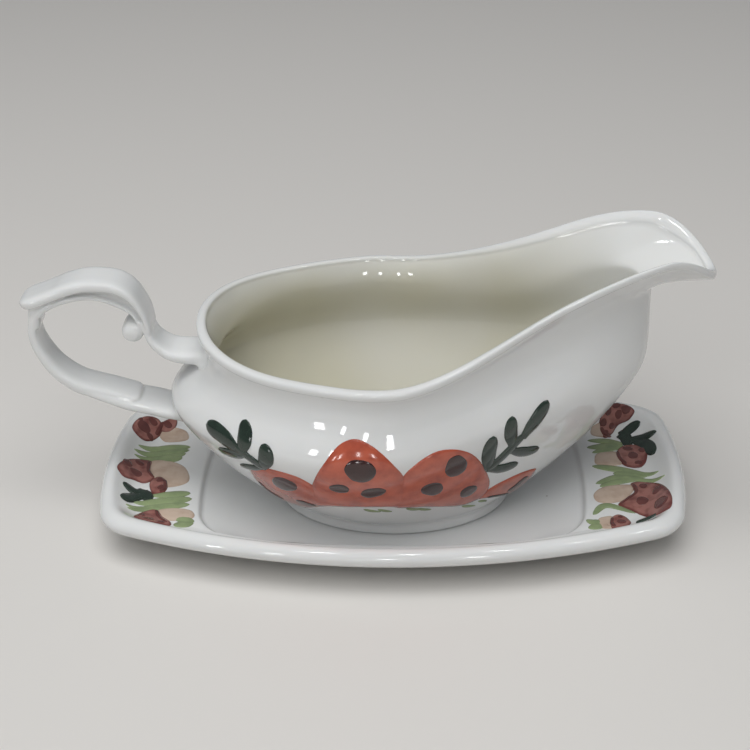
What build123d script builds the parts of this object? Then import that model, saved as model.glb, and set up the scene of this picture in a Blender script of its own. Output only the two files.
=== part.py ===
"""A glazed earthenware gravy boat on its underplate.

Frame: the origin is on the table under the middle of the underplate, +X runs to the pouring spout,
+Y across the boat and +Z up. All lengths are in millimetres.
"""
from build123d import *
from math import cos, pi, sin
import os

os.makedirs("parts", exist_ok=True)

# ---------------------------------------------------------------- driving dimensions: underplate
plate_half_length = 110.0
plate_half_width = 62.0
plate_bow_x = 4.75
plate_bow_y = 21.3
plate_corner_radius = 16.6
plate_height = 18.4
plate_foot_inset = 24.0
lip_inset = 2.9
border_height = 10.5
border_inset = 13.0
well_half_length = 74.0
well_half_width = 45.3
well_bow_x = 3.0
well_bow_y = 7.3
well_corner_radius = 20.0
well_floor = 5.7

# ---------------------------------------------------------------- driving dimensions: boat
foot_gap = 0.3
foot_height = 5.4
foot_ring_width = 5.0
foot_recess = 4.0
floor_thickness = 4.0
wall = 4.0
rim_width = 3.7
rim_rise = 1.5
belly_fullness = 1.24
points_around = 32

foot_base = well_floor + foot_gap
waist_z = foot_base + foot_height
floor_z = waist_z + floor_thickness

# ---------------------------------------------------------------- level curves round the bowl
# back and front are a curve's ends in X. The half-width goes from wide to narrow over the X span taper,
# and square fills out the back's plan. The height goes from low to high over the X span climb,
# changes by tail at the very back, rises by lift at the very front, and falls by droop over the spout's end.
foot_line = {"back": -43.2, "front": 44.4, "wide": 31.8, "narrow": 31.8, "low": foot_base, "high": foot_base}
waist_line = {"back": -41.6, "front": 43.5, "wide": 32.8, "narrow": 32.8, "low": waist_z, "high": waist_z}
belly_line = {"back": -83.2, "front": 93.6, "wide": 60, "narrow": 38, "taper": (-25, 85), "square": -5,
              "low": 50, "high": 65, "climb": (-20, 100)}
neck_line = {"back": -67, "front": 93.3, "wide": 54.6, "narrow": 33, "square": 9.5, "low": 70, "high": 87,
             "tail": -2, "lift": 10}
rim_line = {"back": -70.6, "front": 116, "wide": 58.3, "narrow": 36, "square": 10, "low": 77.6, "high": 111.3,
            "tail": 2.5, "droop": 13}
floor_line = {"back": -37.6, "front": 41, "wide": 29, "narrow": 29, "low": floor_z, "high": floor_z}
tail_start = -35
lift_length = 16
droop_length = 20

# ---------------------------------------------------------------- driving dimensions: handle
ribbon_width = 15.0
ribbon_thickness = 4.6
loop_width = 13.5
loop_thickness = 4.2
strap_width = 16.5
strap_thickness = 4.6
volute_radius = 3.8
volute_x = -94.0
volute_z = 76.0
volute_web = 8.0
handle_tip = -136.2
loop_end = -92.0
strap_start = -114.0
ribbon_end_radius = 6.0
loop_end_radius = 2.5
strap_end_radius = 7.0
trim_margin = 0.6

# centre lines of the handle's bars, in X and Z
ribbon_points = [(-134.8, 86.5), (-129.5, 88.4), (-122, 91.2), (-117, 93.3), (-111, 94.9), (-105, 95.1),
                 (-99, 94), (-94.4, 91.3), (-91.2, 87.6), (-89.4, 83.4), (-88.2, 78.6), (-86.6, 73.2),
                 (-83.6, 69.4), (-79.6, 67.2), (-75.5, 66.6), (-70.5, 66.3), (-66.3, 66.3)]
loop_points = [(-127.8, 88.3), (-129.8, 82.5), (-130.3, 76.5), (-129.6, 71), (-127.2, 65.2), (-123, 59.4),
               (-116.6, 54.4), (-110, 52), (-104.4, 50.4), (-98, 48.7), (-93, 47.3)]
strap_points = [(-113, 50.4), (-108, 49), (-103, 47.6), (-97, 46), (-89, 44.4), (-80.6, 43), (-76.1, 42.1)]


# ---------------------------------------------------------------- bowl
def ease(value, start, end):
    """0 before start, 1 after end, and a smooth step between them."""
    part = min(1.0, max(0.0, (value - start) / (end - start)))
    return part * part * (3 - 2 * part)


def oval(angle, line, inset=0.0):
    """The point of a level curve at an angle from the spout, with the curve drawn in by inset."""
    back = line["back"] + inset
    front = line["front"] - inset
    taper = line.get("taper", (-15, 65))
    x = (back + front) / 2 + (front - back) / 2 * cos(angle)
    behind = max(0.0, (taper[0] + 5 - x) / (taper[0] + 5 - back))
    half_width = line["wide"] - inset + (line["narrow"] - line["wide"]) * ease(x, *taper)
    half_width += line.get("square", 0) * behind ** 2
    z = line["low"] + (line["high"] - line["low"]) * ease(x, *line.get("climb", (0, 100)))
    z += line.get("tail", 0) * max(0.0, (tail_start - x) / (tail_start - back)) ** 2
    z += line.get("lift", 0) * ease(x, front - lift_length, front)
    z -= line.get("droop", 0) * max(0.0, (x - (front - droop_length)) / droop_length) ** 2
    return Vector(x, half_width * sin(angle), z)


def between(low, high, across, up):
    """A point between two others, with its own shares sideways and upwards."""
    return Vector(low.X + (high.X - low.X) * across, low.Y + (high.Y - low.Y) * across,
                  low.Z + (high.Z - low.Z) * up)


def foot_edge(angle):
    return oval(angle, foot_line)


def foot_inner(angle):
    return oval(angle, foot_line, foot_ring_width)


def recess_edge(angle):
    return foot_inner(angle) + Vector(0, 0, foot_recess)


def waist(angle):
    return oval(angle, waist_line)


def belly(angle):
    return oval(angle, belly_line)


def neck(angle):
    return oval(angle, neck_line)


def rim_edge(angle):
    return oval(angle, rim_line)


def rim_inner(angle):
    return oval(angle, rim_line, rim_width) + Vector(0, 0, rim_rise / 5)


def rim_crest(angle):
    """The rolled rim's highest line, between its two edges."""
    return between(rim_edge(angle), rim_inner(angle), 0.5, 0.5) + Vector(0, 0, rim_rise)


def throat(angle):
    return oval(angle, neck_line, wall)


def inner_belly(angle):
    return oval(angle, belly_line, wall)


def floor_edge(angle):
    return oval(angle, floor_line)


def swell(low, high, share):
    """A level on the drawn-in quarter-oval that leaves low sideways and arrives at high upright."""
    turn = share * pi / 2
    power = 2 / belly_fullness
    return lambda angle: between(low(angle), high(angle), sin(turn) ** power, 1 - cos(turn) ** power)


def lean_in(low, high, share):
    """A level on the soft shoulder that leaves low upright and arrives at high upright."""
    return lambda angle: between(low(angle), high(angle), (1 - cos(pi * share)) / 2, share)


def flare_out(low, high, share):
    """A level on the flare that leaves low upright and leans out more and more towards high."""
    return lambda angle: between(low(angle), high(angle), share ** 1.7, share)


def ring(level):
    """A closed smooth wire round the bowl through the points of a level curve."""
    with BuildLine() as line:
        Spline(*[level(2 * pi * k / points_around) for k in range(points_around)], periodic=True)
    return line.wires()[0]


def band(levels):
    """The smooth skin through a list of level curves."""
    return Shell.make_loft([ring(level) for level in levels]).faces()


swell_shares = (0.2, 0.4, 0.6, 0.8)
shoulder_shares = (0.25, 0.5, 0.75)

outside = [waist]
outside += [swell(waist, belly, share) for share in swell_shares]
outside += [belly]
outside += [lean_in(belly, neck, share) for share in shoulder_shares]
outside += [neck]

flare = [neck, flare_out(neck, rim_edge, 0.35), flare_out(neck, rim_edge, 0.7), rim_edge]

inside = [throat]
inside += [lean_in(inner_belly, throat, share) for share in reversed(shoulder_shares)]
inside += [inner_belly]
inside += [swell(floor_edge, inner_belly, share) for share in reversed(swell_shares)]
inside += [floor_edge]

skin = band([foot_edge, waist]) + band(outside) + band(flare)
skin += band([rim_edge, rim_crest, rim_inner])
skin += band([rim_inner, flare_out(throat, rim_inner, 0.5), throat]) + band(inside)
skin += band([foot_inner, recess_edge])
skin += [Face(ring(floor_edge)), Face(ring(recess_edge)), Face(ring(foot_edge), [ring(foot_inner)])]
bowl_body = Solid(Shell(skin))

with BuildPart() as boat_bowl:
    add(bowl_body)
boat_bowl.part.label = "boat_bowl"
export_step(boat_bowl.part, "parts/boat_bowl.step")


# ---------------------------------------------------------------- handle
def strip(points, width, thickness, left, right, end_radius):
    """A flat bar with rounded edges that follows a centre line in the XZ plane.

    In plan it is trimmed to a rounded rectangle from left to right, which rounds off its free end.
    """
    with BuildPart() as bar:
        with BuildLine(Plane.XZ) as centre_line:
            Spline(*points)
        path = centre_line.wires()[0]
        with BuildSketch(Plane(origin=path @ 0, x_dir=(0, 1, 0), z_dir=path % 0)):
            RectangleRounded(width, thickness, thickness * 0.45)
        sweep(path=path)
        with BuildSketch(Plane.XY.offset(foot_base)):
            with Locations(((left + right) / 2, 0)):
                RectangleRounded(right - left, width + trim_margin, end_radius)
        extrude(amount=plate_half_length, mode=Mode.INTERSECT)
    return bar.part


with BuildPart() as volute:
    with BuildSketch(Plane.XZ.offset(-ribbon_width / 2)):
        with Locations((volute_x, volute_z)):
            Circle(volute_radius)
        with Locations((volute_x + volute_web / 2, volute_z - volute_radius / 2)):
            Rectangle(volute_web, volute_radius)
    extrude(amount=ribbon_width)

with BuildPart() as boat_handle:
    add(strip(ribbon_points, ribbon_width, ribbon_thickness, handle_tip, 0, ribbon_end_radius))
    add(strip(loop_points, loop_width, loop_thickness, handle_tip, loop_end, loop_end_radius))
    add(strip(strap_points, strap_width, strap_thickness, strap_start, 0, strap_end_radius))
    add(volute.part)
    add(bowl_body, mode=Mode.SUBTRACT)
boat_handle.part.label = "boat_handle"
export_step(boat_handle.part, "parts/boat_handle.step")


# ---------------------------------------------------------------- underplate
def tray_section(half_length, half_width, bow_x, bow_y, radius, height):
    """A horizontal section with four bowed sides and four rounded corners."""
    side_x = half_length - bow_x
    side_y = half_width - bow_y
    with BuildSketch(Plane.XY.offset(height)) as section:
        with BuildLine():
            ThreePointArc((side_x, -side_y), (half_length, 0), (side_x, side_y))
            ThreePointArc((side_x, side_y), (0, half_width), (-side_x, side_y))
            ThreePointArc((-side_x, side_y), (-half_length, 0), (-side_x, -side_y))
            ThreePointArc((-side_x, -side_y), (0, -half_width), (side_x, -side_y))
        make_face()
        fillet(section.vertices(), radius)
    return section.sketch


def plate_section(inset, height):
    """The underplate's plan at an inset from its edge."""
    return tray_section(plate_half_length - inset, plate_half_width - inset, plate_bow_x, plate_bow_y,
                        plate_corner_radius - 0.3 * inset, height)


def well_section(inset_x, inset_y, height):
    """The sunk well's plan, drawn in from its edge."""
    return tray_section(well_half_length - inset_x, well_half_width - inset_y, well_bow_x, well_bow_y,
                        well_corner_radius - (inset_x + inset_y) / 2, height)


# the plate's profile as pairs of inset and height, outside and inside, from the table up to the lip
plate_outside = [(plate_foot_inset, 0), (plate_foot_inset - 1, 2.5), (10, 6.5), (3.5, 10.5), (0.9, 12.5),
                 (0, 15), (0.8, 17.2), (lip_inset, plate_height)]
plate_inside = [(border_inset, border_height), (border_inset - 3.6, border_height + 2.4), (7.4, 15.1),
                (5.5, 17.2), (lip_inset, plate_height)]
# the well's profile as inset in X, inset in Y and height: a soft step, then a slope to the flat for the foot
well_profile = [(17, 4.8, well_floor), (3, 2.8, 8), (1.2, 1.2, 9.8), (0, 0, border_height)]

with BuildPart() as underplate:
    loft([plate_section(inset, height) for inset, height in plate_outside], ruled=True)
    loft([plate_section(inset, height) for inset, height in plate_inside], ruled=True, mode=Mode.SUBTRACT)
    loft([well_section(*place) for place in well_profile], ruled=True, mode=Mode.SUBTRACT)
underplate.part.label = "underplate"
export_step(underplate.part, "parts/underplate.step")
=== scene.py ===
"""A glazed earthenware gravy boat on its underplate: the looks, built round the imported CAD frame."""
import math

import bmesh
import bpy
import numpy as np
from mathutils import Matrix, Vector
from mathutils.bvhtree import BVHTree


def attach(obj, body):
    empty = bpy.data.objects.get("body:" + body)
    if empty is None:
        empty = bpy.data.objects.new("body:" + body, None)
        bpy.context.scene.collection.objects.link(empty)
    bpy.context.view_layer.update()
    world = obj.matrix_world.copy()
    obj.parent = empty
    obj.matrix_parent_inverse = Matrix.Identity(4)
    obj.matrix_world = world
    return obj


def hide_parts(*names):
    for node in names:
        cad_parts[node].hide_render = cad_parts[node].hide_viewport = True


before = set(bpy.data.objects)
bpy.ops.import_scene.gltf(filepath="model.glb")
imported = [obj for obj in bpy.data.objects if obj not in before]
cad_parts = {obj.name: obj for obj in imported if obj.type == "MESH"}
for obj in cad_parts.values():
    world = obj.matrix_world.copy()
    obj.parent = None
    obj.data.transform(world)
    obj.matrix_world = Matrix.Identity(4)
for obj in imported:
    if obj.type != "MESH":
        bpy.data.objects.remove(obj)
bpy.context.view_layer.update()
MM = 0.001
scene = bpy.context.scene


# ---------------------------------------------------------------- small helpers
def ease(value, start, end):
    """0 before start, 1 after end, and a smooth step between them."""
    part = min(1.0, max(0.0, (value - start) / (end - start)))
    return part * part * (3 - 2 * part)


def vec(x, y, z):
    """A point or direction as an array."""
    return np.array((x, y, z), float)


def signed_power(value, power):
    """The power of a value's size, with the value's sign."""
    return math.copysign(abs(value) ** power, value)


def curve_point(a, b, c, d, u):
    """The point at u between b and c on a Catmull-Rom curve."""
    return 0.5 * (2 * b + (c - a) * u + (2 * a - 5 * b + 4 * c - d) * u ** 2
                  + (3 * b - a - 3 * c + d) * u ** 3)


def smooth_path(points, count):
    """count points on a smooth curve through the given points, of any number of coordinates."""
    points = np.array(points, float)
    ends = np.vstack([2 * points[0] - points[1], points, 2 * points[-1] - points[-2]])
    steps = np.linalg.norm(np.diff(points[:, :2], axis=0), axis=1)
    along = np.concatenate([[0], np.cumsum(steps)])
    path = []
    for s in np.linspace(0, along[-1], count):
        k = min(len(points) - 2, max(0, int(np.searchsorted(along, s, side="right")) - 1))
        path.append(curve_point(*ends[k:k + 4], (s - along[k]) / max(steps[k], 1e-9)))
    return np.array(path)


def closed_curve(points, steps=8):
    """A smooth closed curve through the given points."""
    points = np.array(points, float)
    count = len(points)
    return np.array([curve_point(*(points[(k + j - 1) % count] for j in range(4)), step / steps)
                     for k in range(count) for step in range(steps)])


def skin(rows, inside=None):
    """A closed skin over rows of points, in mm. A row of one point is a pole. inside is one share per row."""
    rows = [np.atleast_2d(row) for row in rows]
    starts = np.cumsum([0] + [len(row) for row in rows])
    faces = []
    for low, high, a, b in zip(rows, rows[1:], starts, starts[1:]):
        n, m = len(low), len(high)
        for k in range(max(n, m)):
            j = (k + 1) % max(n, m)
            corners = [a + k % n, a + j % n, b + j % m, b + k % m]
            faces.append(list(dict.fromkeys(corners)))
    shares = np.repeat(inside if inside is not None else [0.0] * len(rows), [len(row) for row in rows])
    return np.vstack(rows), faces, shares


def piece_of(name, skins):
    """One object made of all the skins, with their shares kept as the attribute inside."""
    starts = np.cumsum([0] + [len(vertices) for vertices, _, _ in skins])
    faces = [[start + k for k in face] for start, (_, some, _) in zip(starts, skins) for face in some]
    mesh = bpy.data.meshes.new(name)
    mesh.from_pydata((np.vstack([vertices for vertices, _, _ in skins]) * MM).tolist(), [], faces)
    build = bmesh.new()
    build.from_mesh(mesh)
    bmesh.ops.recalc_face_normals(build, faces=build.faces)
    build.to_mesh(mesh)
    build.free()
    attribute = mesh.attributes.new("inside", "FLOAT", "POINT")
    attribute.data.foreach_set("value", np.concatenate([shares for _, _, shares in skins]).astype(np.float32))
    mesh.polygons.foreach_set("use_smooth", [True] * len(mesh.polygons))
    piece = bpy.data.objects.new(name, mesh)
    scene.collection.objects.link(piece)
    return piece


def surface_tree(*pieces):
    """A search tree over the faces of the pieces, in mm."""
    vertices, faces = [], []
    for piece in pieces:
        first = len(vertices)
        vertices += [vertex.co / MM for vertex in piece.data.vertices]
        faces += [[first + k for k in face.vertices] for face in piece.data.polygons]
    return BVHTree.FromPolygons(vertices, faces)


# ---------------------------------------------------------------- bowl
foot_base = 6.0
waist_z = 11.4
floor_z = 15.4
foot_recess = 4.0
wall = 4.0
rim_width = 3.7
rim_rise = 1.5
rim_bead = 1.1
rim_bead_depth = 2.0
rim_squareness = 0.8
rim_slope = 0.3
belly_fullness = 1.24
flare_power = 1.7
flange_span = (15, 80)
flange_side = (8, 18)
flange_fall = 3.0
flange_pinch = 0.04
around = 224
# Level curves: back and front are the ends in X. The half-width goes from wide to narrow over the span taper,
# and square fills out the back's plan. The height goes from low to high over the span climb, changes by tail
# at the very back, rises by lift towards the front and falls by droop over the spout's end.
foot_line = {"back": -43.2, "front": 44.4, "wide": 31.8, "narrow": 31.8,
             "low": foot_base, "high": foot_base}
waist_line = {"back": -41.6, "front": 43.5, "wide": 32.8, "narrow": 32.8, "low": waist_z, "high": waist_z}
belly_line = {"back": -83.2, "front": 93.6, "wide": 60, "narrow": 38, "taper": (-25, 85), "square": -5,
              "low": 50, "high": 65, "climb": (-20, 100)}
neck_line = {"back": -67, "front": 93.3, "wide": 54.6, "narrow": 33, "square": 9.5, "low": 70, "high": 87,
             "tail": -2, "lift": 10}
rim_line = {"back": -70.6, "front": 116, "wide": 58.3, "narrow": 36, "square": 10, "low": 77.6,
            "high": 111.3, "tail": 2.5, "droop": 13}
floor_line = {"back": -37.6, "front": 41, "wide": 29, "narrow": 29, "low": floor_z, "high": floor_z}
tail_start = -35
lift_length = 40
lift_beyond = 4
droop_length = 20
recess_inset = 5.5
# the rounded foot ring's section as inset and height, from the recess to the outside
foot_section = [(5.0, 0.9), (4.4, 0.1), (3.8, 0.0), (1.0, 0.0), (0.3, 0.3), (0.0, 1.1)]


def oval(line, inset=0.0, raised=0.0):
    """The points of a level curve of the bowl, drawn in by inset and moved up by raised."""
    back, front = line["back"] + inset, line["front"] - inset
    taper = line.get("taper", (-15, 65))
    points = []
    for k in range(around):
        angle = 2 * math.pi * k / around
        x = (back + front) / 2 + (front - back) / 2 * math.cos(angle)
        behind = max(0.0, (taper[0] + 5 - x) / (taper[0] + 5 - back))
        half_width = line["wide"] - inset + (line["narrow"] - line["wide"]) * ease(x, *taper)
        half_width += line.get("square", 0) * behind ** 2
        z = line["low"] + (line["high"] - line["low"]) * ease(x, *line.get("climb", (0, 100)))
        z += line.get("tail", 0) * max(0.0, (tail_start - x) / (tail_start - back)) ** 2
        z += line.get("lift", 0) * ease(x, front - lift_length, front + lift_beyond)
        z -= line.get("droop", 0) * max(0.0, (x - (front - droop_length)) / droop_length) ** 2
        points.append((x, half_width * math.sin(angle), z + raised))
    return np.array(points)


def between(low, high, across, up):
    """A row between two rows, with its own shares sideways and upwards."""
    row = low + (high - low) * across
    row[:, 2] = low[:, 2] + (high[:, 2] - low[:, 2]) * up
    return row


def swell(low, high, share):
    """A row on the drawn-in quarter-oval that leaves low sideways and arrives at high upright."""
    turn = share * math.pi / 2
    power = 2 / belly_fullness
    return between(low, high, math.sin(turn) ** power, 1 - math.cos(turn) ** power)


def lean_in(low, high, share):
    """A row on the soft shoulder that leaves low upright and arrives at high upright."""
    return between(low, high, (1 - math.cos(math.pi * share)) / 2, share)


def flare_out(low, high, share):
    """A row on the flare that leaves low upright and leans out more and more towards high."""
    return between(low, high, share ** flare_power, share)


def shares(count):
    """The shares strictly between 0 and 1."""
    return [(k + 1) / (count + 1) for k in range(count)]


def rim_inner_edge(outer):
    """The rim's inner edge: level with the outer one round the bowl, a sloping flange along the spout."""
    inner = oval(rim_line, rim_width)
    for k, (x, y, z) in enumerate(outer):
        flange = ease(x, *flange_span) * ease(abs(y), *flange_side)
        inner[k, 2] = inner[k, 2] * (1 - flange) + (z - flange_fall) * flange + rim_slope * (1 - flange)
        inner[k, 1] *= 1 - flange_pinch * flange
    return inner


def bowl_rows():
    """The bowl's rows of points, from under its foot, up its outside, over the rim and down to its floor."""
    waist, belly, neck, rim = oval(waist_line), oval(belly_line), oval(neck_line), oval(rim_line)
    throat, belly_in, floor = oval(neck_line, wall), oval(belly_line, wall), oval(floor_line)
    rim_in = rim_inner_edge(rim)
    under_rim = oval(rim_line, rim_bead, -rim_bead_depth)
    under = vec(-0.5, 0, foot_base + foot_recess)
    # inside is each row's share of the inside's cream tint with its painted shade: none outside, part way
    # over the rim's inner slope, full inside.
    rows, inside = [under], [0.0]

    def put(row, share=0.0):
        rows.append(row)
        inside.append(share)

    for share in (0.5, 1.0):
        put(under * (1 - share) + oval(foot_line, recess_inset, foot_recess) * share)
    for inset, height in foot_section:
        put(oval(foot_line, inset, height))
    foot = rows[-1]
    for share in shares(7):
        put(between(foot, waist, share, share))
    corner = len(rows)
    put(waist)
    for share in shares(26):
        put(swell(waist, belly, share))
    widest = len(rows)
    put(belly)
    for share in shares(20):
        put(lean_in(belly, neck, share))
    crease = len(rows)
    put(neck)
    for share in shares(14):
        put(flare_out(neck, under_rim, share))
    put(under_rim)
    for share in shares(4):
        put(between(under_rim, rim, math.sin(share * math.pi / 2), 1 - math.cos(share * math.pi / 2)))
    put(rim)
    middle = (rim + rim_in) / 2
    for share in shares(13):
        turn = share * math.pi
        roll = middle + (rim - middle) * signed_power(math.cos(turn), rim_squareness)
        roll[:, 2] += rim_rise * math.sin(turn) ** rim_squareness
        put(roll, 0.35 * ease(share, 0.3, 1))
    put(rim_in, 0.5)
    for share in shares(12):
        put(flare_out(throat, rim_in, 1 - share), 0.5 + 0.5 * share)
    put(throat, 1.0)
    for share in shares(20):
        put(lean_in(belly_in, throat, 1 - share), 1.0)
    put(belly_in, 1.0)
    for share in shares(26):
        put(swell(floor, belly_in, 1 - share), 1.0)
    put(floor, 1.0)
    centre = vec(0.5, 0, floor_z)
    for share in (0.3, 0.6, 0.85):
        put(floor * (1 - share) + centre * share, 1.0)
    put(centre, 1.0)
    # each bend is softened over some rows on either side of it, in so many rounds
    for bend, reach, rounds in ((corner, 4, 9), (widest, 11, 26), (crease, 8, 16)):
        near = range(bend - reach, bend + reach)
        for _ in range(rounds):
            rows[near.start:near.stop] = [(rows[k - 1] + rows[k + 1] + 2 * rows[k]) / 4 for k in near]
    return rows, inside


# ---------------------------------------------------------------- handle
bar_points = 28
bar_flatness = 0.42
bar_edge = 0.62
narrowest_half = 0.6
knob_x = -94.2
knob_z = 75.9
knob_radius = 3.9
knob_half_length = 6.8
knob_ring_reach = 6.6
fuse_voxel = 0.36
fuse_rounds = 7
root_fillet = 3.2
# every point of a strip is its X, its Z, its width and its thickness
ribbon_path = [(-134.6, 86.6, 15, 4.2), (-129.5, 88.3, 15.6, 4.4), (-122, 91.2, 15.6, 4.5),
               (-117, 93.3, 15.6, 4.7), (-111, 94.9, 15.6, 4.8), (-105, 95.1, 15.6, 4.7),
               (-99, 94.3, 15.6, 4.3), (-94.6, 91.8, 15.4, 3.8), (-91.6, 88.2, 15.2, 3.2),
               (-89.5, 84.2, 15, 2.8), (-88.2, 80, 14.6, 2.5), (-87.8, 76.4, 14, 2.4),
               (-88.3, 73.6, 13, 2.2)]
scroll_path = [(-93.3, 47.3, 14.1, 3.4), (-98, 48.5, 14.1, 3.8), (-104.4, 50.2, 14.1, 4.6),
               (-110, 51.5, 14.1, 5.2), (-116.6, 53.8, 14.1, 5.3), (-123.2, 59.2, 14, 4.6),
               (-127.3, 65.2, 13.8, 4.1), (-129.8, 71, 13.4, 3.8), (-130.5, 76, 13.2, 3.7),
               (-129.4, 81, 13, 3.6), (-126.2, 85, 12.8, 3.3), (-121.5, 87.6, 12.6, 2.9),
               (-115, 89.6, 12.4, 2.4), (-109.5, 90.2, 12.2, 2), (-104, 89.5, 12, 1.9),
               (-98.4, 87.1, 11.8, 1.9), (-94, 84.4, 11.6, 1.9), (-91.9, 81.2, 11.4, 2),
               (-91, 77.6, 11.2, 2.4), (-91.6, 74.3, 11, 2.6), (-94, 73, 11, 2.8)]
web_path = [(-127.5, 86.5, 8.5, 5), (-120, 90.2, 8.5, 5), (-113, 92.2, 8.5, 4.5), (-106, 92.4, 8.5, 4.5),
            (-99.5, 90.8, 8.5, 4.5), (-94.5, 88, 8.5, 4.2), (-91.3, 84, 8.5, 4), (-89.8, 80, 8.5, 4),
            (-89.5, 75.5, 8.5, 4.2)]
shoulder_path = [(-129.8, 78, 12.6, 4.6), (-128.8, 84, 12.6, 5.4), (-127.5, 88, 12, 6)]
neck_path = [(-90.5, 80.5, 12, 3), (-88.6, 76.5, 13.4, 3.2), (-86.8, 72.4, 14.6, 3.4), (-84, 69.3, 15.2, 3.6),
             (-80.4, 67.1, 15.8, 4.2), (-76, 66.2, 16.2, 4.8), (-70.5, 66, 16.6, 5.2),
             (-66.3, 66, 17, 5.4)]
strap_path = [(-113, 51.5, 14, 3), (-108, 49.8, 15.2, 3.6), (-103, 48.1, 16, 4), (-97, 46.1, 16.6, 4.3),
              (-89, 44.4, 17, 4.4), (-84, 43, 17, 4.5), (-80.4, 42.3, 17, 4.6),
              (-76.1, 41.5, 17, 4.8)]


def strip(path, count=90, start_round=0.0, end_round=0.0):
    """A bar with softly rounded edges along a path. Its ends may be rounded in plan."""
    line = smooth_path(path, count)
    centre = line[:, :2]
    tangent = np.gradient(centre, axis=0)
    tangent /= np.linalg.norm(tangent, axis=1)[:, None]
    normal = np.stack([-tangent[:, 1], tangent[:, 0]], 1)
    lengths = np.concatenate([[0], np.cumsum(np.linalg.norm(np.diff(centre, axis=0), axis=1))])
    rows = [vec(centre[0][0], 0, centre[0][1])]
    for (x, z, width, thickness), across, s in zip(line, normal, lengths):
        half, thick = width / 2, thickness / 2
        for distance, corner in ((s, start_round), (lengths[-1] - s, end_round)):
            if corner and distance < corner:
                rest = 1 - distance / corner
                half -= corner * (1 - math.sqrt(max(0.0, 1 - rest ** 2)))
                thick *= math.sqrt(max(0.04, 1 - rest ** 4))
        half = max(half, narrowest_half)
        row = []
        for k in range(bar_points):
            turn = 2 * math.pi * k / bar_points
            u = signed_power(math.cos(turn), bar_flatness) * half
            v = signed_power(math.sin(turn), bar_edge) * thick
            row.append((x + across[0] * v, u, z + across[1] * v))
        rows.append(np.array(row))
    rows.append(vec(centre[-1][0], 0, centre[-1][1]))
    return skin(rows)


def volute_knob():
    """The rolled end that hangs inside the ribbon's right-hand curl."""
    x, z = knob_x, knob_z
    rows = [vec(x, -knob_half_length, z)]
    for k in range(17):
        turn = math.pi * (k + 0.5) / 17
        y = -knob_ring_reach * signed_power(math.cos(turn), 0.6)
        radius = knob_radius * math.sin(turn) ** 0.5
        rows.append(np.array([(x + radius * math.cos(a), y, z + radius * math.sin(a))
                              for a in np.linspace(0, 2 * math.pi, bar_points, endpoint=False)]))
    rows.append(vec(x, knob_half_length, z))
    return skin(rows)


def applied(piece):
    """Bakes the piece's modifiers into its mesh."""
    depsgraph = bpy.context.evaluated_depsgraph_get()
    mesh = bpy.data.meshes.new_from_object(piece.evaluated_get(depsgraph))
    piece.modifiers.clear()
    piece.data = mesh
    mesh.polygons.foreach_set("use_smooth", [True] * len(mesh.polygons))
    return piece


def fused(piece, voxel, rounds):
    """Runs the piece's parts together as glaze and slip do: one skin with soft hollows at the joins."""
    remesh = piece.modifiers.new("fuse", "REMESH")
    remesh.mode = "VOXEL"
    remesh.voxel_size = voxel * MM
    soften = piece.modifiers.new("soften", "SMOOTH")
    soften.factor = 0.5
    soften.iterations = rounds
    return applied(piece)


def blended(piece, base, reach):
    """Widens the piece where it meets the base, so that it flows into it with a fillet of radius reach."""
    tree = surface_tree(base)
    moves = []
    for vertex in piece.data.vertices:
        place = vertex.co / MM
        near, out, _, _ = tree.find_nearest(place)
        height = (place - near).dot(out)
        if height < reach:
            rest = reach - max(height, 0)
            grow = reach - math.sqrt(reach ** 2 - rest ** 2)
            moves.append((vertex, (vertex.normal - out * vertex.normal.dot(out)) * grow * MM))
    for vertex, move in moves:
        vertex.co += move
    return piece


def make_handle(bowl):
    """The handle's bars and knob, run together and flowing into the bowl."""
    skins = [
        strip(ribbon_path, 110, start_round=6, end_round=1.5),
        strip(scroll_path, 150, start_round=3.5),
        strip(web_path),
        strip(shoulder_path, 20),
        strip(neck_path, 60),
        strip(strap_path, 60),
        volute_knob(),
    ]
    return blended(fused(piece_of("handle", skins), fuse_voxel, fuse_rounds), bowl, root_fillet)


# ---------------------------------------------------------------- underplate
plate_half_length = 110
plate_half_width = 62
plate_bow_x = 4.75
plate_bow_y = 21.3
plate_corner_radius = 16.6
plate_foot_inset = 24
border_inset = 14
border_height = 10.6
well_half_length = 74
well_half_width = 45.3
well_bow_x = 3
well_bow_y = 7.3
well_corner_radius = 20
well_floor = 5.7


def tray_ring(half_length, half_width, bow_x, bow_y, radius):
    """A ring of points round a plan with four bowed sides and four rounded corners."""
    side_x, side_y = half_length - bow_x, half_width - bow_y
    end_radius = (side_y ** 2 + bow_x ** 2) / (2 * bow_x)
    long_radius = (side_x ** 2 + bow_y ** 2) / (2 * bow_y)
    end_centre, long_centre = half_length - end_radius, half_width - long_radius
    # the corner's circle touches both sides' circles from the inside
    a, b = end_radius - radius, long_radius - radius
    gap = math.hypot(end_centre, long_centre)
    along = (a ** 2 - b ** 2 + gap ** 2) / (2 * gap)
    beside = math.sqrt(a ** 2 - along ** 2)
    ux, uy = -end_centre / gap, long_centre / gap
    corner_x = end_centre + along * ux - beside * uy
    corner_y = along * uy + beside * ux
    low = math.atan2(corner_y, corner_x - end_centre)
    high = math.atan2(corner_y - long_centre, corner_x)
    quarter = []
    for k in range(16):
        turn = low * k / 16
        quarter.append((end_centre + end_radius * math.cos(turn), end_radius * math.sin(turn)))
    for k in range(12):
        turn = low + (high - low) * k / 12
        quarter.append((corner_x + radius * math.cos(turn), corner_y + radius * math.sin(turn)))
    for k in range(24):
        turn = high + (math.pi / 2 - high) * k / 24
        quarter.append((long_radius * math.cos(turn), long_centre + long_radius * math.sin(turn)))
    quarter.append((0, half_width))
    first = np.array(quarter)
    second = first[::-1][1:] * (-1, 1)
    half = np.vstack([first, second])
    other = half[::-1][1:-1] * (1, -1)
    return np.vstack([half, other])


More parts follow.
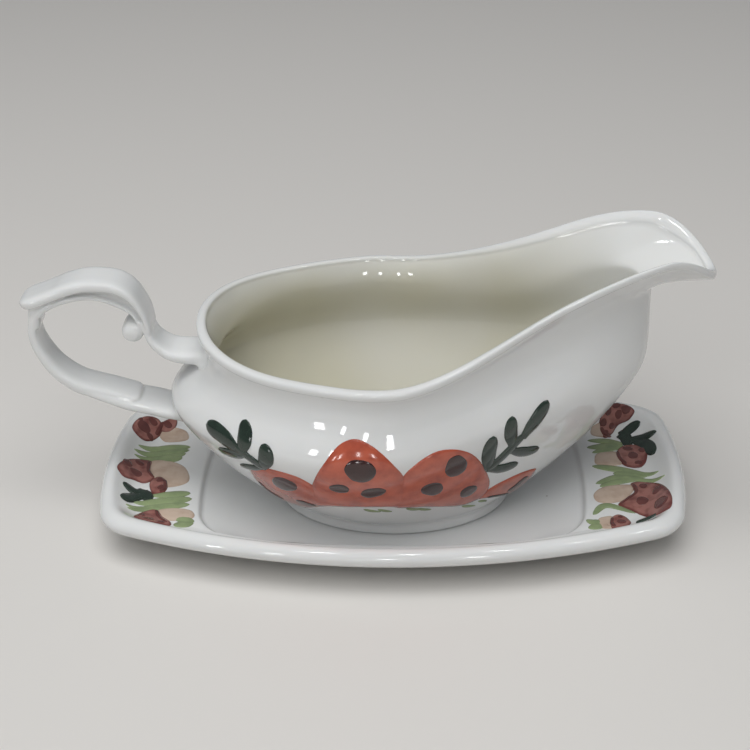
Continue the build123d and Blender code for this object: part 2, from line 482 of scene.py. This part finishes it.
def plate_ring(inset, z):
    """The underplate's plan at an inset from its edge."""
    flat = tray_ring(plate_half_length - inset, plate_half_width - inset, plate_bow_x, plate_bow_y,
                     plate_corner_radius - 0.3 * inset)
    return np.column_stack([flat, np.full(len(flat), z)])


def well_ring(inset_x, inset_y, z):
    """The sunk well's plan, drawn in from its edge."""
    flat = tray_ring(well_half_length - inset_x, well_half_width - inset_y, well_bow_x, well_bow_y,
                     well_corner_radius - 0.5 * (inset_x + inset_y))
    return np.column_stack([flat, np.full(len(flat), z)])


def plate_rows():
    """The underplate's rows of points, from under its middle, over its lip and down to the well's middle."""
    rows = [vec(0, 0, 0)]
    rows += [plate_ring(plate_foot_inset, 0) * (share, share, 1) for share in (0.3, 0.6, 0.85)]
    outside = [(24.4, 0), (23.7, 0.3), (23.2, 1.4), (21.5, 3.0), (16, 4.6), (10, 6.6), (5.5, 9.2),
               (2.4, 11.4), (0.8, 13), (0.05, 15), (0.3, 16.5), (1.3, 17.8), (2.9, 18.4), (4.5, 18.1),
               (5.9, 16.9), (7.4, 15.1), (9.4, 13), (11.6, 11.4), (border_inset, border_height)]
    rows += [plate_ring(inset, z) for inset, z in smooth_path(outside, 64)]
    edge = plate_ring(border_inset, border_height)
    rows += [edge * (1 - share) + well_ring(0, 0, 10.5) * share for share in shares(5)]
    step = [(0, 0, 10.5), (0.5, 0.5, 10.4), (1.1, 1.1, 9.9), (1.6, 1.6, 9.0), (2.2, 2.2, 8.3),
            (3.2, 3.0, 8.0), (8, 3.6, 7.1), (13, 4.2, 6.1), (16, 4.6, 5.75), (18, 5.2, well_floor)]
    rows += [well_ring(*point) for point in step]
    rows += [well_ring(*step[-1]) * (share, share, 1) for share in (0.8, 0.5, 0.25)]
    rows.append(vec(0, 0, well_floor))
    return rows


# ---------------------------------------------------------------- decoration
# The bowl's drawings are in X and Z and are pressed onto its side along Y. The underplate's are in X and Y.
edge_sink = 0.5
skirt_sink = 0.1
spot_points = 9
stroke_steps = 24
stroke_points = 16


def bowl_side(tree, side):
    """Lays a drawing on the bowl's near (-1) or far (1) side, at a height above the glaze."""
    def lay(x, z, height):
        hit, out, _, _ = tree.ray_cast(Vector((x, 120 * side, z)), Vector((0, -side, 0)))
        return hit + out * height
    return lay


def plate_top(tree):
    """Lays a drawing on the underplate, at a height above the glaze."""
    def lay(x, y, height):
        hit, out, _, _ = tree.ray_cast(Vector((x, y, 60)), Vector((0, 0, -1)))
        return hit + out * height
    return lay


def blob(lay, outline, height):
    """A raised patch inside a smooth closed outline: a soft pillow with its edge sunk into the glaze."""
    edge = closed_curve(outline)
    centre = edge.mean(axis=0)
    rows, inside = [lay(*centre, -edge_sink), [lay(*point, -edge_sink) for point in edge]], [0.0, 0.0]
    for t in (0, 0.03, 0.07, 0.13, 0.21, 0.32, 0.46, 0.64, 0.82):
        rise = -skirt_sink + (height + skirt_sink) * math.sqrt(1 - (1 - t) ** 5)
        rows.append([lay(*point, rise) for point in edge * (1 - t) + centre * t])
        inside.append(t)
    rows.append(lay(*centre, height))
    return skin([np.array(row) for row in rows], inside + [1.0])


def spot(lay, x, y, half_x, half_y, tilt=0.0, height=0.3):
    """A painted oval spot, a little uneven as a brush leaves it."""
    lean = math.radians(tilt)
    outline = []
    for k in range(spot_points):
        turn = 2 * math.pi * k / spot_points
        wide = 1 + 0.07 * math.sin(2 * turn + x) + 0.05 * math.sin(3 * turn + y)
        u, v = half_x * wide * math.cos(turn), half_y * wide * math.sin(turn)
        outline.append((x + u * math.cos(lean) - v * math.sin(lean),
                        y + u * math.sin(lean) + v * math.cos(lean)))
    return blob(lay, outline, height)


def leaf(s):
    """How full a leaf is at a share of its length: broad from near its foot, rounded at its tip."""
    return (0.6 + 0.4 * ease(s, 0, 0.45)) * math.sqrt(max(0.0, 1 - max(0.0, (s - 0.58) / 0.42) ** 2.4))


def blade(s):
    """How full a blade of grass is: pointed at both ends and fuller near its foot."""
    return math.sqrt(max(0.0, 4 * s * (1 - s))) * (1.1 - 0.4 * s)


def stem(s):
    """How full a plain stroke is: even, with rounded ends."""
    return math.sqrt(max(0.0, 1 - abs(2 * s - 1) ** 7))


def stroke(lay, form, path, width, height=0.6):
    """A raised brush stroke along a path, as wide at each place as its form says."""
    line = smooth_path(path, stroke_steps)
    tangent = np.gradient(line, axis=0)
    tangent /= np.linalg.norm(tangent, axis=1)[:, None]
    rows, inside = [lay(*line[0], -0.3)], [0.0]
    for k, (point, (tx, ty)) in enumerate(zip(line, tangent)):
        full = max(0.08, form(k / (stroke_steps - 1)))
        row = []
        for j in range(stroke_points):
            turn = 2 * math.pi * j / stroke_points
            x, y = point + np.array((-ty, tx)) * width / 2 * full * math.cos(turn)
            rise = -0.4
            if 0 < j < stroke_points // 2:
                rise = -skirt_sink + (height * full ** 0.5 + skirt_sink) * math.sin(turn) ** 0.7
            row.append(lay(x, y, rise))
        rows.append(np.array(row))
        inside.append(0.5)
    rows.append(lay(*line[-1], -0.3))
    return skin(rows, inside + [0.0])


def bowl_leaves(lay):
    """The two leaf sprigs: each leaf has its foot, middle and tip, and its width."""
    left = [((-52.5, 49.5), (-59, 53.2), (-65, 54), 6.8), ((-51.5, 49.5), (-50, 55.5), (-49.5, 61), 5.4),
            ((-49.5, 49.6), (-55.5, 46.6), (-60.8, 45.6), 5.0),
            ((-44.2, 44.4), (-42.4, 50), (-42.5, 55.6), 5.8),
            ((-44, 44.6), (-48.5, 42.4), (-53, 40.8), 3.4)]
    right = [((47, 51), (51.8, 58.6), (55.6, 64.8), 5.4), ((43.6, 48), (42.7, 55.5), (43, 62), 4.9),
             ((42.8, 46.2), (48.5, 43), (53.5, 42.6), 5.2), ((35, 39), (35.2, 48.5), (36.6, 56), 5.4),
             ((34.6, 39.4), (40.5, 37.4), (46, 37.8), 4.8)]
    skins = [stroke(lay, leaf, (foot, middle, tip), width, 0.7) for foot, middle, tip, width in left + right]
    skins.append(stroke(lay, stem, [(-54, 51.2), (-50.5, 49.2), (-47, 47), (-43.6, 44.4)], 3.5, 0.7))
    skins.append(stroke(lay, stem, [(47.6, 53), (43.4, 48), (39, 43), (34.6, 38.8)], 3.5, 0.7))
    return skins


big_cap = [(-28, 25), (-28, 33), (-26.6, 41), (-24.2, 48.4), (-21, 54), (-17.4, 58.6), (-14, 60.9),
           (-10.5, 61.6), (-6.8, 60.4), (-2.5, 57.4), (1.6, 53), (5.2, 47), (7.4, 38.5), (6.4, 28),
           (-1.5, 28.6), (-10, 29), (-20, 27.8)]
second_cap = [(1, 28.2), (2, 38), (5.8, 47), (9.4, 51), (13, 53.6), (17, 55.1), (21, 55), (25, 53.6),
              (29, 50.4), (32.2, 45), (34.6, 38), (36, 31.5), (35.4, 25.6), (32.4, 21.6), (26, 20.2),
              (20, 22), (12, 25)]
left_cap = [(-49.6, 41), (-44, 44.7), (-38.5, 45.4), (-32, 44.6), (-27, 41.6), (-22, 37), (-22.6, 28),
            (-30, 21), (-37, 18), (-43, 21), (-47, 29)]
right_cap = [(53.2, 29.6), (48.6, 30.8), (43.2, 29.8), (38, 28), (33.6, 25), (31, 22.4), (35, 20.6),
             (39, 18.8), (43.6, 17), (48, 19), (51.4, 24)]


def bowl_caps(lay):
    """The bowl's four toadstool caps, the big ones raised most."""
    return [blob(lay, outline, height)
            for outline, height in ((big_cap, 1.0), (second_cap, 0.95), (left_cap, 0.7), (right_cap, 0.7))]


def bowl_spots(lay):
    """The caps' spots, and the dark strokes near the lower edges of the outer two caps."""
    ovals = [(-9.2, 50.6, 5.5, 4.9, 5), (-16.8, 41.8, 3.4, 2.7, 0), (-5.2, 39.4, 4.3, 3, 8),
             (23.6, 46.4, 4.2, 5.2, 0), (15.4, 36.6, 3.9, 3.9, 0), (28.2, 30, 2.9, 3.6, -50),
             (-36.8, 38, 4.4, 4.8, -20), (-30, 26.6, 3.6, 1.9, -10)]
    skins = [spot(lay, *oval_spot) for oval_spot in ovals]
    skins.append(stroke(lay, stem, [(43, 20.6), (46.4, 23.4), (50, 27.4)], 2.8, 0.3))
    skins.append(stroke(lay, stem, [(35.4, 21.8), (39.4, 20.4), (43.4, 18.6)], 1.7, 0.3))
    skins.append(stroke(lay, stem, [(-47, 33), (-43.6, 27), (-38.6, 23.4)], 1.6, 0.3))
    return skins


def bowl_tufts(lay):
    """Short blades of grass under the caps: each has its foot's X and Z and how far it leans."""
    blades = ((-9, 27.4, 6), (-4, 27, 5), (6, 25.8, 6), (10, 24.4, 5), (26, 19.6, 5), (32, 20, 3))
    return [stroke(lay, blade, [(x, z), (x + 2.4, z - 1.2), (x + lean, z - 2.2)], 1.7, 0.4)
            for x, z, lean in blades]


def plate_caps(lay):
    """The toadstool caps on the underplate's two ends."""
    right_a = [(81.2, 35.6), (83, 40.4), (87.4, 43), (92.6, 41.8), (95.6, 38), (93.4, 35.4), (89, 34.6),
               (86.4, 31.4), (83.6, 29), (81.4, 31.6)]
    right_b = [(86.4, 15.4), (88.2, 21.4), (92, 24), (96, 22), (98.6, 16.4), (97.4, 9.8), (94, 7.2),
               (89.2, 8.8)]
    right_c = [(90.4, -3.4), (96, -2.4), (100.4, -6.8), (102.6, -15), (103.2, -25), (101.4, -31.4),
               (96.2, -30.2), (91, -24), (84.4, -18.4), (87.6, -13.8), (91, -9.6)]
    right_d = [(80.2, -34.2), (80.8, -27.4), (83.6, -24.6), (86.6, -26.4), (88, -30.6), (85, -35)]
    left_a = [(-103.6, 23.4), (-103, 28.6), (-99.6, 33.2), (-95, 34.6), (-92.6, 31.6), (-94.4, 26.4),
              (-97.8, 22), (-101.2, 21.2)]
    left_b = [(-94.2, 32.8), (-91.4, 35.6), (-88, 36.6), (-87.8, 34), (-90.2, 30.4), (-93.4, 29.8)]
    left_c = [(-105, -4.6), (-103.8, 2), (-101, 7.8), (-97.4, 10.8), (-94.2, 10.4), (-94, 4), (-91.4, -1.4),
              (-94.4, -5), (-99, -4.8), (-102.6, -7.2)]
    left_d = [(-93, -6), (-92, -2), (-89.4, -0.4), (-86.4, -3.4), (-85.6, -8), (-87, -12), (-90.6, -12.6)]
    left_e = [(-94.8, -31.6), (-93.2, -25.6), (-90, -23), (-87, -23.4), (-84.6, -27.6), (-81, -31.4),
              (-81.4, -34.8), (-86, -35.4), (-90.6, -34.6)]
    outlines = (right_a, right_b, right_c, right_d, left_a, left_b, left_c, left_d, left_e)
    return [blob(lay, outline, 0.9) for outline in outlines]


def plate_spots(lay):
    """Spots on the caps, and the dark gill lines where each cap meets its stem."""
    ovals = [(88.6, 41, 1.6, 1.5), (92.2, 38.6, 2, 1.7), (89.2, 37.4, 1.3, 1.6), (85.2, 39.6, 1.3, 1.7),
             (83.2, 36, 1.3, 1.6), (86.4, 34, 1.2, 1.2), (83.6, 31.8, 1.3, 1.3), (91.4, 20, 2, 1.6),
             (93, 15, 2.1, 2.4), (96.8, 17.8, 1.3, 1.8), (94.6, 10, 1.4, 1.2), (99.4, -12, 1.9, 2.6, -25),
             (93.4, -16.6, 2.4, 2.7), (99.3, -23, 2.6, 3.6), (94.8, -6.4, 1.5, 1.8),
             (84.4, -30.6, 1.7, 1.8), (84.4, -27, 0.9, 0.9), (-99.6, 27, 2.3, 2.9), (-96.6, 31.8, 1.8, 1.5),
             (-101.2, 30, 1, 1.2), (-97, 24.6, 1.3, 1.4), (-91, 33, 1.7, 1.4), (-102.2, 2, 1.9, 2.2),
             (-98.6, -0.6, 2.1, 2.3), (-98.4, 6.4, 1.6, 1.5), (-89, -3.8, 1.5, 1.5), (-88, -8.8, 1.3, 1.6),
             (-92.4, -28.4, 1.3, 1.8), (-89.2, -31.6, 2, 1.4), (-84.4, -33, 1.4, 1)]
    gills = [((82.2, 34.4), (83.6, 31), (86, 29.8)), ((87.2, 18.6), (87.8, 13.4), (90, 9.2)),
             ((91.2, -4.6), (91.8, -10), (88.4, -14.4), (85.4, -18)),
             ((81.2, -27), (80.9, -31), (81.8, -34.2)), ((-95, 26.8), (-93.6, 31.6), (-93.2, 34)),
             ((-95.2, 9.8), (-94.6, 3.6), (-92.2, -1.6)), ((-87.2, -3.4), (-86.6, -8), (-88, -11.6)),
             ((-87.6, -23.8), (-86, -28.4), (-82.4, -32.6))]
    skins = [spot(lay, *oval_spot, height=0.25) for oval_spot in ovals]
    return skins + [stroke(lay, stem, path, 1.5, 0.3) for path in gills]


def plate_stems(lay):
    """The pale stems that the underplate's caps stand on."""
    outlines = [[(84, 36.8), (79.4, 36.4), (78, 33.6), (79, 30.8), (84, 30)],
                [(88.4, 18.4), (80, 18), (78, 13.4), (79.2, 9.4), (88.4, 9.8)],
                [(91.6, -5), (80.8, -5.6), (75.8, -11), (77.6, -16.6), (86.6, -15.4)],
                [(82, -26), (77, -26.6), (75.8, -30), (77, -33.6), (82, -34)],
                [(-94.2, 29.4), (-90, 33.2), (-83.6, 32.4), (-82.6, 26.4), (-91, 24.8)],
                [(-95, 10.6), (-87.6, 11), (-80.6, 6.2), (-78.2, -3.8), (-86, -7.8), (-91.6, -2.6)],
                [(-87.6, -23.6), (-81, -21.8), (-74.4, -23.4), (-73.6, -28.4), (-83.4, -30)]]
    return [blob(lay, outline, 0.6) for outline in outlines]


def plate_leaves(lay):
    """The underplate's leaves: each has its foot, middle and tip, and its width."""
    paths = [((88.6, 28.4), (93, 31.6), (97.4, 32.8), 4.4), ((89.6, 27.6), (96.4, 25.6), (102.6, 23), 3.8),
             ((93.6, 27), (98.4, 20.4), (100.9, 12.2), 4.4), ((90, 32), (91.6, 27.6), (92, 22.6), 5.0),
             ((97, -29.4), (93.4, -30.2), (89.6, -31.4), 3.0),
             ((-92.6, -11), (-97.6, -12.2), (-101.8, -10.2), 4.6),
             ((-92.8, -12.4), (-97, -16.2), (-100.6, -22), 4.8),
             ((-96.6, -10), (-93.4, -13), (-91.2, -16.8), 5.4)]
    return [stroke(lay, leaf, (foot, middle, tip), width, 0.8) for foot, middle, tip, width in paths]


def plate_grass(lay):
    """Tufts between the toadstools: each blade runs from its foot to its tip."""
    blades = [((90, 24.4), (83, 26.6), (76.4, 27.2), 4.5), ((90, 23.4), (83, 22.6), (75.8, 22), 5.6),
              ((89.4, 22.6), (83, 20.4), (77.6, 18.2), 4.5), ((76.8, 8.6), (88, 5.6), (101.2, 0.4), 4.8),
              ((77.2, -3.8), (88, 0.6), (102.8, -5.2), 4.5), ((84.4, 3.4), (91, 2.6), (97.4, 1), 4.8),
              ((78.6, -5.8), (86, -2.4), (95, -0.6), 4.2), ((74.6, -24.6), (80, -18.6), (90.2, -23.6), 3.6),
              ((78, -29.6), (74.4, -29.6), (71.8, -28), 4.2),
              ((78, -31.4), (75, -32.4), (72.2, -33.2), 4.8),
              ((-80.6, 21.2), (-90, 20.2), (-100.4, 17), 4.8),
              ((-80.8, 19), (-90, 16.6), (-101.4, 13.2), 4.8),
              ((-81.8, 16.4), (-90, 13), (-101, 10.6), 4.2), ((-83, 14), (-86, 12), (-91, 11), 3.9),
              ((-76.4, -11.6), (-84, -12.8), (-91.6, -13.6), 5.0),
              ((-75.4, -15.4), (-86, -17.4), (-97.4, -19.4), 5.9),
              ((-75.8, -19.2), (-86, -21), (-98.8, -24), 5.0),
              ((-88, -22.4), (-93, -23.6), (-98, -25.8), 2.8),
              ((-80, -28), (-76, -29.4), (-72.6, -30.6), 4.8),
              ((-80, -33.2), (-76, -32.6), (-72.8, -31.4), 5.0)]
    return [stroke(lay, blade, (foot, middle, tip), width, 0.6) for foot, middle, tip, width in blades]


# ---------------------------------------------------------------- materials
def material(name):
    """A new material with only its shader and output, for nodes to be added."""
    made = bpy.data.materials.new(name)
    made.use_nodes = True
    tree = made.node_tree
    tree.nodes.clear()
    output = tree.nodes.new("ShaderNodeOutputMaterial")
    shader = tree.nodes.new("ShaderNodeBsdfPrincipled")
    tree.links.new(shader.outputs[0], output.inputs[0])
    return made, tree, shader


def glaze(name, white, shaded_cream):
    """White earthenware glaze: a cream tint inside the bowl, partly the glaze's own cream and partly painted
    shade, fine iron specks and a slightly uneven, glossy surface.
    """
    made, tree, shader = material(name)
    new, link = tree.nodes.new, tree.links.new
    place = new("ShaderNodeTexCoord").outputs["Object"]

    def noise(scale, detail=2.0):
        node = new("ShaderNodeTexNoise")
        node.inputs["Scale"].default_value = scale
        node.inputs["Detail"].default_value = detail
        link(place, node.inputs["Vector"])
        return node.outputs["Fac"]

    def ramp(source, low, high, first, last):
        node = new("ShaderNodeMapRange")
        node.inputs["From Min"].default_value = low
        node.inputs["From Max"].default_value = high
        node.inputs["To Min"].default_value = first
        node.inputs["To Max"].default_value = last
        link(source, node.inputs["Value"])
        return node.outputs[0]

    def mix(factor, first, second):
        node = new("ShaderNodeMix")
        node.data_type = "RGBA"
        for socket, value in ((6, first), (7, second)):
            if isinstance(value, tuple):
                node.inputs[socket].default_value = (*value, 1)
            else:
                link(value, node.inputs[socket])
        link(factor, node.inputs[0])
        return node.outputs[2]

    inside = new("ShaderNodeAttribute")
    inside.attribute_name = "inside"
    cloud = ramp(noise(22), 0.35, 0.7, 0.0, 1.0)
    body = mix(cloud, white, tuple(c * 0.965 for c in white))
    thin = ramp(noise(13, 1), 0.46, 0.62, 0.0, 0.75)
    # The inside's colour is the glaze's own cream made darker as painted shade of the bowl's inside; thick
    # and thin mottle it darker and lighter at random.
    thick = mix(cloud, shaded_cream, tuple(c * 0.88 for c in shaded_cream))
    inside_tint_and_shade = mix(thin, thick, tuple((c + 0.75) / 2 for c in shaded_cream))
    # Outside the bowl the glaze stays white; inside it takes the cream tint with its painted shade.
    tone_and_inside_shade = mix(inside.outputs["Fac"], body, inside_tint_and_shade)
    speck = new("ShaderNodeTexVoronoi")
    speck.inputs["Scale"].default_value = 95
    link(place, speck.inputs["Vector"])
    spots = ramp(speck.outputs["Distance"], 0.028, 0.05, 1.0, 0.0)
    rare = ramp(noise(60), 0.60, 0.64, 0.0, 1.0)
    both = new("ShaderNodeMath")
    both.operation = "MULTIPLY"
    link(spots, both.inputs[0])
    link(rare, both.inputs[1])
    colour = mix(both.outputs[0], tone_and_inside_shade, (0.16, 0.12, 0.09))
    link(colour, shader.inputs["Base Color"])
    link(ramp(noise(35, 3), 0.3, 0.7, 0.03, 0.07), shader.inputs["Roughness"])
    bump = new("ShaderNodeBump")
    bump.inputs["Strength"].default_value = 0.12
    bump.inputs["Distance"].default_value = 0.0012
    link(noise(55, 1.5), bump.inputs["Height"])
    link(bump.outputs[0], shader.inputs["Normal"])
    shader.inputs["IOR"].default_value = 1.52
    shader.inputs["Coat Weight"].default_value = 0.4
    shader.inputs["Coat Roughness"].default_value = 0.03
    shader.inputs["Subsurface Weight"].default_value = 0.06
    shader.inputs["Subsurface Radius"].default_value = (0.004, 0.003, 0.002)
    return made


def paint(name, colour, dark, edging=0.5):
    """Underglaze colour laid on by brush: darker streaks, darker still at the edges, under clear glaze."""
    made, tree, shader = material(name)
    new, link = tree.nodes.new, tree.links.new
    place = new("ShaderNodeTexCoord").outputs["Object"]
    streaks = new("ShaderNodeTexNoise")
    streaks.inputs["Scale"].default_value = 210
    streaks.inputs["Detail"].default_value = 3
    link(place, streaks.inputs["Vector"])
    inside = new("ShaderNodeAttribute")
    inside.attribute_name = "inside"
    edge = new("ShaderNodeMapRange")
    edge.inputs["From Max"].default_value = 0.16
    edge.inputs["To Min"].default_value = edging
    edge.inputs["To Max"].default_value = 0.0
    link(inside.outputs["Fac"], edge.inputs["Value"])
    cloud = new("ShaderNodeMapRange")
    cloud.inputs["From Min"].default_value = 0.42
    cloud.inputs["From Max"].default_value = 0.72
    link(streaks.outputs["Fac"], cloud.inputs["Value"])
    share = new("ShaderNodeMath")
    share.use_clamp = True
    link(edge.outputs[0], share.inputs[0])
    link(cloud.outputs[0], share.inputs[1])
    blend = new("ShaderNodeMix")
    blend.data_type = "RGBA"
    blend.inputs[6].default_value = (*colour, 1)
    blend.inputs[7].default_value = (*dark, 1)
    link(share.outputs[0], blend.inputs[0])
    link(blend.outputs[2], shader.inputs["Base Color"])
    shader.inputs["Roughness"].default_value = 0.14
    shader.inputs["IOR"].default_value = 1.5
    shader.inputs["Coat Weight"].default_value = 0.5
    shader.inputs["Coat Roughness"].default_value = 0.04
    return made


def finish_piece(piece, made, body, slot, *nodes):
    """Gives the piece its material and body, and hides the CAD nodes that it stands in for. The slot is not
    used.
    """
    piece.data.materials.clear()
    piece.data.materials.append(made)
    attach(piece, body)
    if nodes:
        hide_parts(*nodes)
    return piece


# The second colour is the inside's cream, made darker as painted shade of the bowl's inside.
white_glaze = glaze("white_glaze", (0.78, 0.79, 0.785), (0.62, 0.60, 0.485))
bowl_points, bowl_faces, bowl_tint_and_shade = skin(*bowl_rows())
# the inside's cream tint, with its painted shade, fades out along the spout
bowl_tint_and_shade = bowl_tint_and_shade * np.interp(bowl_points[:, 0], (40, 85), (1, 0.15))
bowl = piece_of("bowl", [(bowl_points, bowl_faces, bowl_tint_and_shade)])
finish_piece(bowl, white_glaze, "boat", "boat_glaze", "boat_bowl")
finish_piece(make_handle(bowl), white_glaze, "boat", "handle_glaze", "boat_handle")
plate = piece_of("plate", [skin(plate_rows())])
finish_piece(plate, white_glaze, "underplate", "plate_glaze", "underplate")


def decorate():
    """Models the toadstools, sprigs and grass on both sides of the bowl and both ends of the underplate."""
    cap_red = paint("cap_red", (0.50, 0.105, 0.055), (0.36, 0.07, 0.04))
    spot_brown = paint("spot_brown", (0.04, 0.011, 0.010), (0.026, 0.008, 0.008))
    leaf_green = paint("leaf_green", (0.021, 0.038, 0.027), (0.013, 0.025, 0.018))
    plate_red = paint("plate_red", (0.34, 0.145, 0.12), (0.15, 0.04, 0.034), 1.0)
    plate_brown = paint("plate_brown", (0.14, 0.042, 0.036), (0.10, 0.028, 0.025))
    stem_buff = paint("stem_buff", (0.57, 0.45, 0.36), (0.47, 0.35, 0.27))
    grass_green = paint("grass_green", (0.27, 0.34, 0.17), (0.20, 0.26, 0.13))
    for make, made in ((bowl_caps, cap_red), (bowl_leaves, leaf_green), (bowl_tufts, grass_green)):
        skins = [one for side in (-1, 1) for one in make(bowl_side(surface_tree(bowl), side))]
        finish_piece(piece_of(make.__name__, skins), made, "boat", "boat_glaze")
    capped = surface_tree(bowl, bpy.data.objects["bowl_caps"])
    skins = [one for side in (-1, 1) for one in bowl_spots(bowl_side(capped, side))]
    finish_piece(piece_of("bowl_spots", skins), spot_brown, "boat", "boat_glaze")
    lay = plate_top(surface_tree(plate))
    for make, made in ((plate_stems, stem_buff), (plate_leaves, leaf_green), (plate_grass, grass_green),
                       (plate_caps, plate_red)):
        finish_piece(piece_of(make.__name__, make(lay)), made, "underplate", "plate_glaze")
    lay = plate_top(surface_tree(plate, bpy.data.objects["plate_caps"]))
    finish_piece(piece_of("plate_spots", plate_spots(lay)), plate_brown, "underplate", "plate_glaze")


decorate()


# ---------------------------------------------------------------- stage, light and camera
def floor_material():
    """A pale, matt, faintly uneven floor."""
    made, tree, shader = material("pale_floor")
    cloud = tree.nodes.new("ShaderNodeTexNoise")
    cloud.inputs["Scale"].default_value = 3
    blend = tree.nodes.new("ShaderNodeMix")
    blend.data_type = "RGBA"
    blend.inputs[6].default_value = (0.74, 0.72, 0.69, 1)
    blend.inputs[7].default_value = (0.71, 0.69, 0.66, 1)
    tree.links.new(cloud.outputs["Fac"], blend.inputs[0])
    tree.links.new(blend.outputs[2], shader.inputs["Base Color"])
    shader.inputs["Roughness"].default_value = 0.55
    return made


floor_reach = 3
floor_mesh = bpy.data.meshes.new("floor")
floor_mesh.from_pydata([(-floor_reach, -floor_reach, 0), (floor_reach, -floor_reach, 0),
                        (floor_reach, floor_reach, 0), (-floor_reach, floor_reach, 0)], [], [(0, 1, 2, 3)])
floor = bpy.data.objects.new("floor", floor_mesh)
scene.collection.objects.link(floor)
floor.data.materials.append(floor_material())


def area_light(name, place, aim, width, height, power, mirrored=True, lights=True):
    """A soft light. It may light the object without showing in its glaze, or only show in its glaze."""
    light = bpy.data.lights.new(name, "AREA")
    light.shape = "RECTANGLE"
    light.size, light.size_y = width, height
    light.energy = power
    lamp = bpy.data.objects.new(name, light)
    lamp.location = place
    lamp.rotation_euler = (Vector(aim) - Vector(place)).to_track_quat("-Z", "Y").to_euler()
    lamp.visible_glossy = mirrored
    lamp.visible_diffuse = lights
    scene.collection.objects.link(lamp)


light_aim = (0, 0, 0.05)
area_light("key", (-0.15, -0.3, 1.3), light_aim, 1.4, 0.9, 12.5, mirrored=False)
area_light("front", (-0.3, -1.2, 1.2), light_aim, 1.2, 0.7, 6.5, mirrored=False)
window_count = 6
window_start = -0.25
window_step = 0.28
for k in range(window_count):
    place = (window_start + window_step * k, -0.46, 1.25)
    area_light(f"window_{k}", place, light_aim, 0.06, 0.16, 0.5, lights=False)
pane_aim = (0, 0, 0.07)
pane_distance = 1.6
pane_rise = 0.16
for turn in (-33, -22, -2, 14):
    way = vec(math.sin(math.radians(turn)), -math.cos(math.radians(turn)), pane_rise)
    place = tuple(way * pane_distance + pane_aim)
    area_light(f"pane_{turn + 90}", place, pane_aim, 0.09, 0.24, 0.9, lights=False)

world = bpy.data.worlds.new("studio")
world.use_nodes = True
world.node_tree.nodes["Background"].inputs[0].default_value = (0.78, 0.8, 0.83, 1)
world.node_tree.nodes["Background"].inputs[1].default_value = 0.2
scene.world = world
scene.view_settings.view_transform = "Standard"

camera_elevation = math.radians(29.632)
camera_azimuth = math.radians(2.472)
camera_roll = math.radians(-1.104)
camera_distance = 742.217
camera_lens = 81.6
camera_sensor = 36
camera_target = vec(-10.272, 97.804, 0)


def add_camera():
    """The camera looks slightly to the left of +Y and down, as it was worked out from the underplate."""
    sa, ca = math.sin(camera_azimuth), math.cos(camera_azimuth)
    se, ce = math.sin(camera_elevation), math.cos(camera_elevation)
    back = vec(sa * ce, -ca * ce, se)
    right = vec(ca, sa, 0)
    up = np.cross(back, right)
    sr, cr = math.sin(camera_roll), math.cos(camera_roll)
    right, up = right * cr + up * sr, up * cr - right * sr
    data = bpy.data.cameras.new("camera")
    data.sensor_width = camera_sensor
    data.lens = camera_lens
    data.clip_end = 20
    camera = bpy.data.objects.new("camera", data)
    place = (camera_target + back * camera_distance) * MM
    turn = Matrix((right, up, back)).transposed().to_4x4()
    camera.matrix_world = Matrix.Translation(place) @ turn
    scene.collection.objects.link(camera)
    scene.camera = camera


add_camera()
